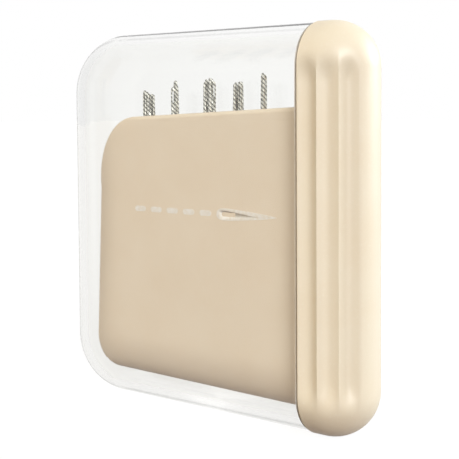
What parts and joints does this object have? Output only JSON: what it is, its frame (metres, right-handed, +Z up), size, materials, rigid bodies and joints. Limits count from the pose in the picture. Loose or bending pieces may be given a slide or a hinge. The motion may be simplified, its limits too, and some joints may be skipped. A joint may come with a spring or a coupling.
{
  "type": "needle case",
  "caption": "Pocket needle case: a clear sleeve over a beige needle holder that slides out sideways on a fluted grip, with sewing needles standing in its wells.",
  "frame": {"origin": "under the middle of the closed case, on the surface that it stands on", "axes": "+Z up along the needles, +X from the closed end to the grip, -Y to the front"},
  "size_m": [0.0594, 0.014, 0.0624],
  "materials": {
    "clear_plastic": "clear polished moulding",
    "holder_plastic": "beige moulding, fine satin",
    "grip_plastic": "cream moulding, satin",
    "needle_steel": "nickel-plated needle wire"
  },
  "bodies": {
    "sleeve": {"clear_sleeve": "clear_plastic"},
    "drawer": {"needle_holder": "holder_plastic", "grip": "grip_plastic"},
    "needle_1_1": {"needle_1_1": "needle_steel"},
    "needle_1_2": {"needle_1_2": "needle_steel"},
    "needle_1_3": {"needle_1_3": "needle_steel"},
    "needle_1_4": {"needle_1_4": "needle_steel"},
    "needle_1_5": {"needle_1_5": "needle_steel"},
    "needle_2_1": {"needle_2_1": "needle_steel"},
    "needle_2_2": {"needle_2_2": "needle_steel"},
    "needle_2_3": {"needle_2_3": "needle_steel"},
    "needle_3_1": {"needle_3_1": "needle_steel"},
    "needle_3_2": {"needle_3_2": "needle_steel"},
    "needle_3_3": {"needle_3_3": "needle_steel"},
    "needle_3_4": {"needle_3_4": "needle_steel"},
    "needle_3_5": {"needle_3_5": "needle_steel"},
    "needle_4_1": {"needle_4_1": "needle_steel"},
    "needle_4_2": {"needle_4_2": "needle_steel"},
    "needle_4_3": {"needle_4_3": "needle_steel"},
    "needle_4_4": {"needle_4_4": "needle_steel"},
    "needle_5_1": {"needle_5_1": "needle_steel"},
    "needle_5_2": {"needle_5_2": "needle_steel"}
  },
  "joints": [
    {"name": "drawer_slide", "type": "slide", "parent": "sleeve", "child": "drawer", "axis": [1, 0, 0], "range_m": [0, 0.05]},
    {"name": "needle_1_1_lift", "type": "slide", "parent": "drawer", "child": "needle_1_1", "axis": [0, 0, 1], "range_m": [0, 0.0078]},
    {"name": "needle_1_2_lift", "type": "slide", "parent": "drawer", "child": "needle_1_2", "axis": [0, 0, 1], "range_m": [0, 0.0084]},
    {"name": "needle_1_3_lift", "type": "slide", "parent": "drawer", "child": "needle_1_3", "axis": [0, 0, 1], "range_m": [0, 0.0085]},
    {"name": "needle_1_4_lift", "type": "slide", "parent": "drawer", "child": "needle_1_4", "axis": [0, 0, 1], "range_m": [0, 0.008]},
    {"name": "needle_1_5_lift", "type": "slide", "parent": "drawer", "child": "needle_1_5", "axis": [0, 0, 1], "range_m": [0, 0.0084]},
    {"name": "needle_2_1_lift", "type": "slide", "parent": "drawer", "child": "needle_2_1", "axis": [0, 0, 1], "range_m": [0, 0.0073]},
    {"name": "needle_2_2_lift", "type": "slide", "parent": "drawer", "child": "needle_2_2", "axis": [0, 0, 1], "range_m": [0, 0.0071]},
    {"name": "needle_2_3_lift", "type": "slide", "parent": "drawer", "child": "needle_2_3", "axis": [0, 0, 1], "range_m": [0, 0.0062]},
    {"name": "needle_3_1_lift", "type": "slide", "parent": "drawer", "child": "needle_3_1", "axis": [0, 0, 1], "range_m": [0, 0.0066]},
    {"name": "needle_3_2_lift", "type": "slide", "parent": "drawer", "child": "needle_3_2", "axis": [0, 0, 1], "range_m": [0, 0.006]},
    {"name": "needle_3_3_lift", "type": "slide", "parent": "drawer", "child": "needle_3_3", "axis": [0, 0, 1], "range_m": [0, 0.0065]},
    {"name": "needle_3_4_lift", "type": "slide", "parent": "drawer", "child": "needle_3_4", "axis": [0, 0, 1], "range_m": [0, 0.0062]},
    {"name": "needle_3_5_lift", "type": "slide", "parent": "drawer", "child": "needle_3_5", "axis": [0, 0, 1], "range_m": [0, 0.006]},
    {"name": "needle_4_1_lift", "type": "slide", "parent": "drawer", "child": "needle_4_1", "axis": [0, 0, 1], "range_m": [0, 0.0071]},
    {"name": "needle_4_2_lift", "type": "slide", "parent": "drawer", "child": "needle_4_2", "axis": [0, 0, 1], "range_m": [0, 0.0067]},
    {"name": "needle_4_3_lift", "type": "slide", "parent": "drawer", "child": "needle_4_3", "axis": [0, 0, 1], "range_m": [0, 0.0067]},
    {"name": "needle_4_4_lift", "type": "slide", "parent": "drawer", "child": "needle_4_4", "axis": [0, 0, 1], "range_m": [0, 0.0068]},
    {"name": "needle_5_1_lift", "type": "slide", "parent": "drawer", "child": "needle_5_1", "axis": [0, 0, 1], "range_m": [0, 0.0055]},
    {"name": "needle_5_2_lift", "type": "slide", "parent": "drawer", "child": "needle_5_2", "axis": [0, 0, 1], "range_m": [0, 0.0057]}
  ]
}
